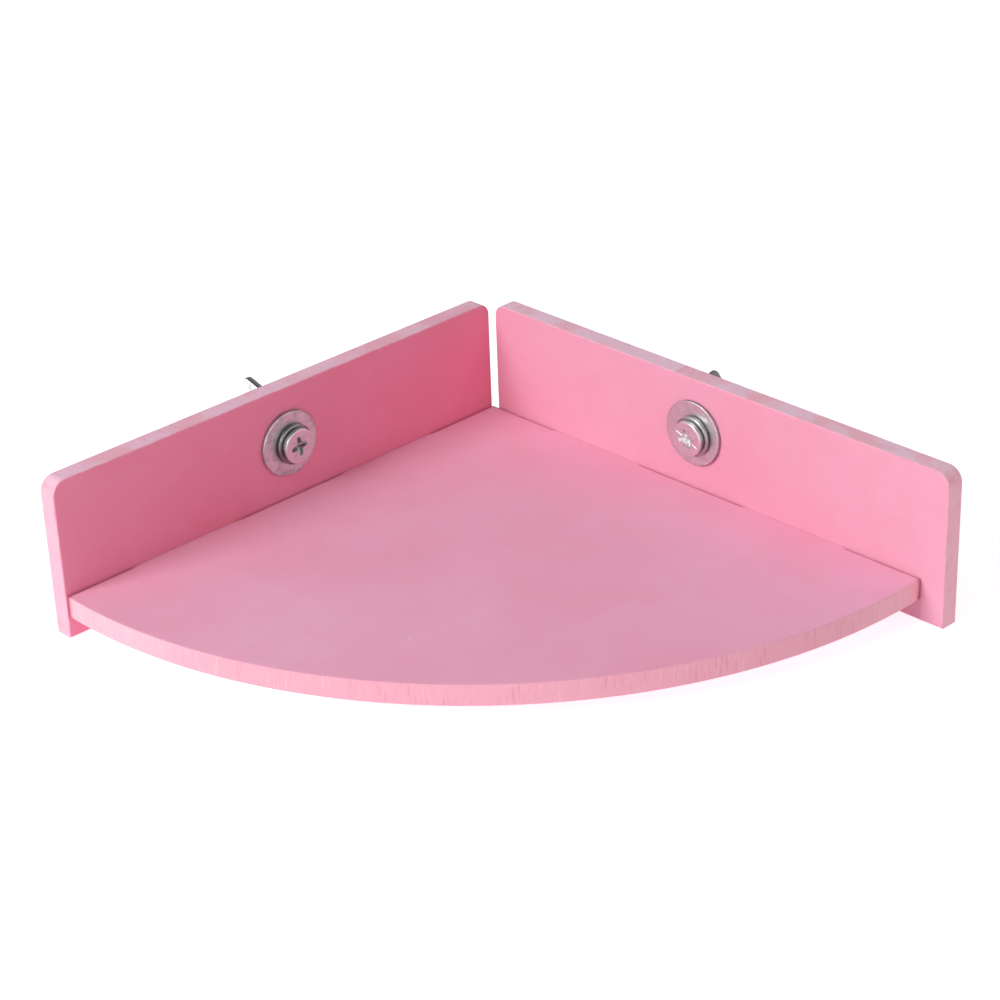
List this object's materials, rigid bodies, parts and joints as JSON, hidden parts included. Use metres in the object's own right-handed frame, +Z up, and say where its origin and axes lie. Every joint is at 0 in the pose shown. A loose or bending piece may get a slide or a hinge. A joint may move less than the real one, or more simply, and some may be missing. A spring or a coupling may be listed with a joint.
{
  "type": "small animal perch platform",
  "caption": "Quarter-round floor board between two low walls at a right angle, with a screw, washers and a wing nut in each wall for clamping it into a wire cage's corner.",
  "frame": {"origin": "middle of the whole part's footprint, at the level of the walls' feet", "axes": "+Z up, -Y towards the front of the rounded floor, +Y towards the corner where the walls meet, +X towards the right wall"},
  "size_m": [0.302, 0.2091, 0.0584],
  "materials": {
    "floor_board_paint": "matte pink paint",
    "left_wall_paint": "matte pink paint",
    "right_wall_paint": "matte pink paint",
    "left_screw_zinc": "bright zinc plate",
    "left_lock_washer_zinc": "bright zinc plate",
    "left_front_washer_zinc": "bright zinc plate",
    "left_clamp_washer_zinc": "bright zinc plate",
    "left_wing_nut_zinc": "bright zinc plate",
    "left_brad_1_steel": "plain bright wire",
    "left_brad_2_steel": "plain bright wire",
    "left_brad_3_steel": "plain bright wire",
    "left_brad_4_steel": "plain bright wire",
    "right_screw_zinc": "bright zinc plate",
    "right_lock_washer_zinc": "bright zinc plate",
    "right_front_washer_zinc": "bright zinc plate",
    "right_clamp_washer_zinc": "bright zinc plate",
    "right_wing_nut_zinc": "bright zinc plate",
    "right_brad_1_steel": "plain bright wire",
    "right_brad_2_steel": "plain bright wire",
    "right_brad_3_steel": "plain bright wire",
    "right_brad_4_steel": "plain bright wire"
  },
  "bodies": {
    "platform": {"floor_board": "floor_board_paint", "left_wall": "left_wall_paint", "right_wall": "right_wall_paint", "left_front_washer": "left_front_washer_zinc", "right_front_washer": "right_front_washer_zinc", "left_brad_1": "left_brad_1_steel", "left_brad_2": "left_brad_2_steel", "left_brad_3": "left_brad_3_steel", "left_brad_4": "left_brad_4_steel", "right_brad_1": "right_brad_1_steel", "right_brad_2": "right_brad_2_steel", "right_brad_3": "right_brad_3_steel", "right_brad_4": "right_brad_4_steel"},
    "left_bolt": {"left_screw": "left_screw_zinc", "left_lock_washer": "left_lock_washer_zinc"},
    "left_clamp": {"left_clamp_washer": "left_clamp_washer_zinc"},
    "left_nut": {"left_wing_nut": "left_wing_nut_zinc"},
    "right_bolt": {"right_screw": "right_screw_zinc", "right_lock_washer": "right_lock_washer_zinc"},
    "right_clamp": {"right_clamp_washer": "right_clamp_washer_zinc"},
    "right_nut": {"right_wing_nut": "right_wing_nut_zinc"}
  },
  "joints": [
    {"name": "left_bolt_turn", "type": "hinge", "parent": "platform", "child": "left_bolt", "pos_m": [-0.07488, 0.02909, 0.037], "axis": [-0.7071, 0.7071, 0], "continuous": true},
    {"name": "left_clamp_slide", "type": "slide", "parent": "left_bolt", "child": "left_clamp", "axis": [-0.7071, 0.7071, 0], "range_m": [-0.00201, 0.00401]},
    {"name": "left_nut_turn", "type": "hinge", "parent": "left_clamp", "child": "left_nut", "pos_m": [-0.07488, 0.02909, 0.037], "axis": [-0.7071, 0.7071, 0], "range_deg": [-720, 1440]},
    {"name": "right_bolt_turn", "type": "hinge", "parent": "platform", "child": "right_bolt", "pos_m": [0.06901, 0.02661, 0.037], "axis": [0.7071, 0.7071, 0], "continuous": true},
    {"name": "right_clamp_slide", "type": "slide", "parent": "right_bolt", "child": "right_clamp", "axis": [0.7071, 0.7071, 0], "range_m": [-0.00201, 0.00401]},
    {"name": "right_nut_turn", "type": "hinge", "parent": "right_clamp", "child": "right_nut", "pos_m": [0.06901, 0.02661, 0.037], "axis": [0.7071, 0.7071, 0], "range_deg": [-720, 1440]}
  ],
  "couplings": [
    {"joint": "left_clamp_slide", "follows": "left_nut_turn", "m_per_rad": 0.00015915},
    {"joint": "right_clamp_slide", "follows": "right_nut_turn", "m_per_rad": 0.00015915}
  ]
}
